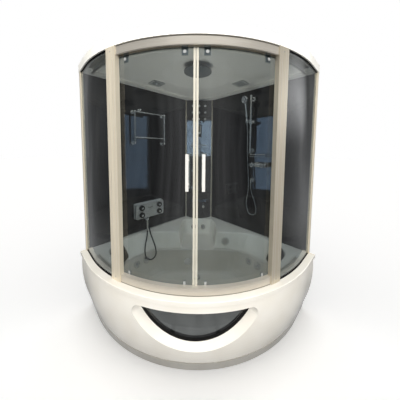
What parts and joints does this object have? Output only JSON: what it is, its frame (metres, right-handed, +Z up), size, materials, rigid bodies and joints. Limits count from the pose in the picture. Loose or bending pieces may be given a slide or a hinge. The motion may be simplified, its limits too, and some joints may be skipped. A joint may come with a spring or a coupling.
{
  "type": "jetted bath with shower cabin",
  "caption": "Corner jetted bath closed by a curved glass shower cabin with sliding doors, a roof, a corner column, a rain head, hand showers and a towel rack.",
  "frame": {"origin": "on the floor, under the middle of the box around the object", "axes": "+X to the right seen from the front, +Y from the front to the rear corner, +Z up"},
  "size_m": [2.1214, 1.5862, 2.2],
  "materials": {
    "bath_acrylic": "glossy warm white acrylic",
    "roof_acrylic": "satin white acrylic",
    "window_tint": "grey tinted glass",
    "seal_rubber": "matt black rubber",
    "frame_steel": "grey zinc-coloured coating",
    "foot_plastic": "black plastic pads and nuts",
    "pump_plastic": "dark grey housing",
    "pipe_plastic": "off-white pipe",
    "jet_chrome": "polished chrome on plastic",
    "pad_black": "soft black skin over foam",
    "rail_satin": "satin anodised, pale champagne",
    "pane_grey": "grey tinted tempered glass",
    "strip_grey": "pale magnetic strip",
    "handle_chrome": "satin chrome",
    "hanger_steel": "brushed steel",
    "roller_nylon": "white nylon",
    "wall_black": "high-gloss black",
    "display_face": "dark glossy keypad with a pale screen",
    "fitting_chrome": "polished chrome",
    "hose_chrome": "wound metal hose",
    "hose_grey": "dark grey wound hose",
    "rain_grey": "dark grey metal with rubber nozzles",
    "panel_chrome": "satin chrome panel",
    "knob_black": "black knobs with pale centres"
  },
  "bodies": {
    "bath_and_cabin": {"tub_shell": "bath_acrylic", "tub_basin": "bath_acrylic", "tub_floor": "bath_acrylic", "apron": "bath_acrylic", "base_band": "bath_acrylic", "window_frame": "bath_acrylic", "window_glass": "window_tint", "black_seals": "seal_rubber", "tub_frame": "frame_steel", "levelling_feet": "foot_plastic", "pump": "pump_plastic", "water_pipes": "pipe_plastic", "tub_jets": "jet_chrome", "waste_fittings": "jet_chrome", "head_rest_left": "pad_black", "head_rest_right": "pad_black", "bottom_rail": "rail_satin", "top_rail": "rail_satin", "post_left": "rail_satin", "post_right": "rail_satin", "fixed_pane_left": "pane_grey", "fixed_pane_right": "pane_grey", "wall_profiles": "rail_satin", "wall_panel_left": "wall_black", "wall_panel_right": "wall_black", "column_panel": "wall_black", "column_display": "display_face", "column_base": "wall_black", "column_fittings": "fitting_chrome", "roof_shell": "roof_acrylic", "ceiling": "roof_acrylic", "ceiling_fittings": "fitting_chrome", "slide_bar": "fitting_chrome", "shower_hose": "hose_chrome", "mixer_body": "fitting_chrome", "control_panel": "panel_chrome", "bath_hose": "hose_grey", "towel_rack": "fitting_chrome"},
    "door_left": {"door_pane_left": "pane_grey", "door_strip_left": "strip_grey", "door_handle_left": "handle_chrome", "door_hangers_left": "hanger_steel"},
    "door_right": {"door_pane_right": "pane_grey", "door_strip_right": "strip_grey", "door_handle_right": "handle_chrome", "door_hangers_right": "hanger_steel"},
    "roller_left_near": {"roller_left_near": "roller_nylon"},
    "roller_left_far": {"roller_left_far": "roller_nylon"},
    "roller_right_near": {"roller_right_near": "roller_nylon"},
    "roller_right_far": {"roller_right_far": "roller_nylon"},
    "rain_head": {"rain_head": "rain_grey"},
    "slider": {"slider": "fitting_chrome"},
    "hand_shower": {"hand_shower": "fitting_chrome"},
    "mixer_knob_near": {"mixer_knob_near": "fitting_chrome"},
    "mixer_knob_far": {"mixer_knob_far": "fitting_chrome"},
    "control_knob_1": {"control_knob_1": "knob_black"},
    "control_knob_2": {"control_knob_2": "knob_black"},
    "control_knob_3": {"control_knob_3": "knob_black"},
    "control_knob_4": {"control_knob_4": "knob_black"},
    "bath_handset": {"bath_handset": "fitting_chrome"},
    "overflow_knob": {"overflow_knob": "jet_chrome"},
    "drain_plug": {"drain_plug": "jet_chrome"}
  },
  "joints": [
    {"name": "door_left_slide", "type": "hinge", "parent": "bath_and_cabin", "child": "door_left", "pos_m": [0, 0.49892, 1.3], "axis": [0, 0, -1], "range_deg": [0, 20]},
    {"name": "door_right_slide", "type": "hinge", "parent": "bath_and_cabin", "child": "door_right", "pos_m": [0, 0.49892, 1.3], "axis": [0, 0, 1], "range_deg": [0, 20]},
    {"name": "roller_left_near_turn", "type": "hinge", "parent": "door_left", "child": "roller_left_near", "pos_m": [-0.0669, -0.69771, 2.108], "axis": [-0.0558, -0.9984, 0], "continuous": true},
    {"name": "roller_left_far_turn", "type": "hinge", "parent": "door_left", "child": "roller_left_far", "pos_m": [-0.45478, -0.60994, 2.108], "axis": [-0.3795, -0.9252, 0], "continuous": true},
    {"name": "roller_right_near_turn", "type": "hinge", "parent": "door_right", "child": "roller_right_near", "pos_m": [0.0669, -0.69771, 2.108], "axis": [0.0558, -0.9984, 0], "continuous": true},
    {"name": "roller_right_far_turn", "type": "hinge", "parent": "door_right", "child": "roller_right_far", "pos_m": [0.45478, -0.60994, 2.108], "axis": [0.3795, -0.9252, 0], "continuous": true},
    {"name": "rain_head_tilt", "type": "hinge", "parent": "bath_and_cabin", "child": "rain_head", "pos_m": [0, -0.28092, 2.148], "axis": [1, 0, 0], "range_deg": [-8, 8]},
    {"name": "slider_height", "type": "slide", "parent": "bath_and_cabin", "child": "slider", "axis": [0, 0, 1], "range_m": [-0.25, 0.05], "deforming": ["shower_hose"]},
    {"name": "hand_shower_tilt", "type": "hinge", "parent": "slider", "child": "hand_shower", "pos_m": [0.52326, 0.1284, 1.779], "axis": [0.7071, -0.7071, 0], "range_deg": [-6, 24]},
    {"name": "mixer_knob_near_turn", "type": "hinge", "parent": "bath_and_cabin", "child": "mixer_knob_near", "pos_m": [0.57559, 0.06759, 1.327], "axis": [-0.7071, -0.7071, 0], "range_deg": [0, 120]},
    {"name": "mixer_knob_far_turn", "type": "hinge", "parent": "bath_and_cabin", "child": "mixer_knob_far", "pos_m": [0.65478, -0.01161, 1.327], "axis": [-0.7071, -0.7071, 0], "range_deg": [-50, 50]},
    {"name": "control_knob_1_turn", "type": "hinge", "parent": "bath_and_cabin", "child": "control_knob_1", "pos_m": [-0.46103, 0.23164, 0.841], "axis": [0.7071, -0.7071, 0], "range_deg": [-90, 90]},
    {"name": "control_knob_2_turn", "type": "hinge", "parent": "bath_and_cabin", "child": "control_knob_2", "pos_m": [-0.61235, 0.08031, 0.841], "axis": [0.7071, -0.7071, 0], "range_deg": [-90, 90]},
    {"name": "control_knob_3_turn", "type": "hinge", "parent": "bath_and_cabin", "child": "control_knob_3", "pos_m": [-0.46103, 0.23164, 0.763], "axis": [0.7071, -0.7071, 0], "range_deg": [-90, 90]},
    {"name": "control_knob_4_turn", "type": "hinge", "parent": "bath_and_cabin", "child": "control_knob_4", "pos_m": [-0.61235, 0.08031, 0.763], "axis": [0.7071, -0.7071, 0], "range_deg": [-90, 90]},
    {"name": "bath_handset_lift", "type": "slide", "parent": "bath_and_cabin", "child": "bath_handset", "axis": [0, 0, 1], "range_m": [0, 0.09], "deforming": ["bath_hose"]},
    {"name": "overflow_knob_turn", "type": "hinge", "parent": "bath_and_cabin", "child": "overflow_knob", "pos_m": [0.3108, 0.12583, 0.46], "axis": [-0.0321, -0.9983, 0.0493], "range_deg": [0, 90]},
    {"name": "drain_plug_lift", "type": "slide", "parent": "bath_and_cabin", "child": "drain_plug", "axis": [0, 0, 1], "range_m": [0, 0.012]}
  ],
  "couplings": [
    {"joint": "roller_left_near_turn", "follows": "door_left_slide", "ratio": 99.875},
    {"joint": "roller_left_far_turn", "follows": "door_left_slide", "ratio": 99.875},
    {"joint": "roller_right_near_turn", "follows": "door_right_slide", "ratio": -99.875},
    {"joint": "roller_right_far_turn", "follows": "door_right_slide", "ratio": -99.875},
    {"joint": "drain_plug_lift", "follows": "overflow_knob_turn", "m_per_rad": 0.00763}
  ]
}
